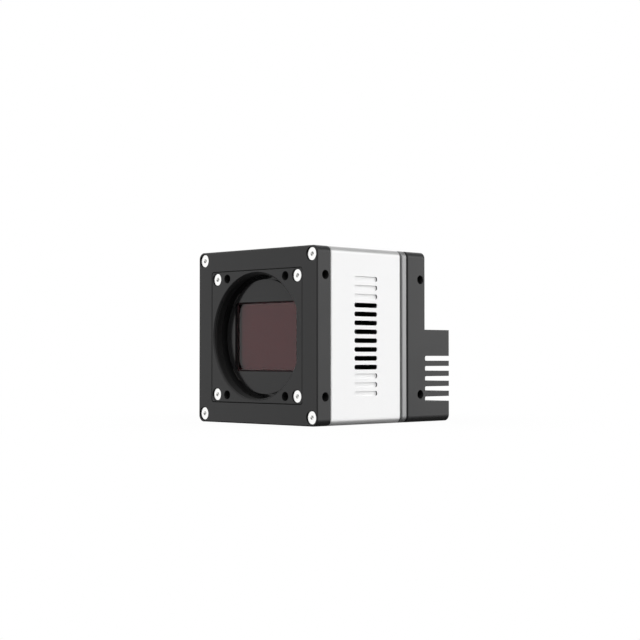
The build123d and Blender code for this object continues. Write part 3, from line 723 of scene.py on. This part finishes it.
# %% Work out the places of the tapped holes
hole_pitch = 0.7 * mm
hole_ridge_height = 0.34 * mm
hole_lead_in = 0.34 * mm
hole_steps = 24


def hole_places(mount):
    """The four centres of a bolt pattern, worked out from its middle, direction and spacing."""
    middle = Vector(mount["pos_m"])
    direction = Vector(mount["axis"])
    wide = mount["dims"]["spacing_x_mm"] / 2 * mm
    tall = mount["dims"]["spacing_y_mm"] / 2 * mm
    spans = {"x": ((0, wide, 0), (0, 0, tall)),
             "y": ((wide, 0, 0), (0, 0, tall)),
             "z": ((wide, 0, 0), (0, tall, 0))}
    across = max("xyz", key=lambda name: abs(getattr(direction, name)))
    first, second = (Vector(span) for span in spans[across])
    return [middle + first * a + second * b for a in (-1, 1) for b in (-1, 1)], direction


front_places = hole_places(record_mounts["front_adapter_holes"])[0]
print("front holes in mm:", [[round(value / mm, 2) for value in place] for place in front_places])

# %% [markdown]
# One ridge is wound once and then copied to each hole, turned so that it runs inward. Its start lies a
# little under the surface, so nothing stands out of the hole.

# %% Thread the tapped holes
side_names = ("side_holes_right", "side_holes_left", "top_holes", "bottom_holes")
side_turns, adapter_turns = 7, 5


def tapped_holes(patterns, turns):
    """All the holes' ridges in one bmesh."""
    whole = bmesh.new()
    copy = bpy.data.meshes.new("one_ridge")
    radius = patterns[0]["dims"]["hole_r_mm"] * mm
    one = winding_ridge(radius, hole_ridge_height, hole_pitch, turns, hole_steps)
    one.to_mesh(copy)
    one.free()
    for pattern in patterns:
        places, direction = hole_places(pattern)
        turn = (-direction).to_track_quat("Z", "Y").to_matrix().to_4x4()
        for place in places:
            start = len(whole.verts)
            whole.from_mesh(copy)
            whole.verts.ensure_lookup_table()
            move = Matrix.Translation(place - direction * hole_lead_in) @ turn
            bmesh.ops.transform(whole, matrix=move, verts=whole.verts[start:])
    bpy.data.meshes.remove(copy)
    return whole


side_patterns = [record_mounts[name] for name in side_names]
adapter_patterns = [record_mounts["front_adapter_holes"]]
for name, patterns, turns in (("side_hole_threads", side_patterns, side_turns),
                              ("adapter_hole_threads", adapter_patterns, adapter_turns)):
    piece = finished_object(name, tapped_holes(patterns, turns), hole_thread_shade_finish)
    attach(piece, "camera")
    print(name, "faces:", len(piece.data.polygons))

# %% [markdown]
# The round power receptacle on the back takes a plug with a locking ring, so its barrel has a thread
# outside. The same winding ridge serves: with a height below zero it stands outward from the barrel instead
# of inward.

# %% Thread the power receptacle
plug_thread_pitch = 1.0 * mm
plug_thread_height = 0.3 * mm
plug_thread_turns = 4
plug_thread_steps = 72
plug_thread_lead_in = 0.9 * mm
barrel_radius = 5.8 * mm

receptacle_low, receptacle_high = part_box("power_connector")
receptacle_middle = (receptacle_low + receptacle_high) / 2
plug_thread_shape = winding_ridge(barrel_radius, -plug_thread_height, plug_thread_pitch, plug_thread_turns,
                                  plug_thread_steps)
bmesh.ops.rotate(plug_thread_shape, cent=(0, 0, 0), matrix=Matrix.Rotation(math.radians(90), 3, "X"),
                 verts=plug_thread_shape.verts)
bmesh.ops.translate(plug_thread_shape, verts=plug_thread_shape.verts,
                    vec=(receptacle_middle.x, receptacle_high.y - plug_thread_lead_in, receptacle_middle.z))
plug_thread = finished_object("power_receptacle_thread", plug_thread_shape, finishes["connector_shell"])
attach(plug_thread, "camera")
print("power receptacle thread:", len(plug_thread.data.polygons), "faces")

# %% [markdown]
# ## The last check
#
# The box of the dressed model is measured again, and how much it has grown past the bare model is printed.
# Nothing that was added stands out past the solid model.

# %% Check the sizes
visual_low, visual_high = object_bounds()
growth = (visual_high - visual_low) - (model_high - model_low)
print("grown by mm:", [round(length / mm, 3) for length in growth])
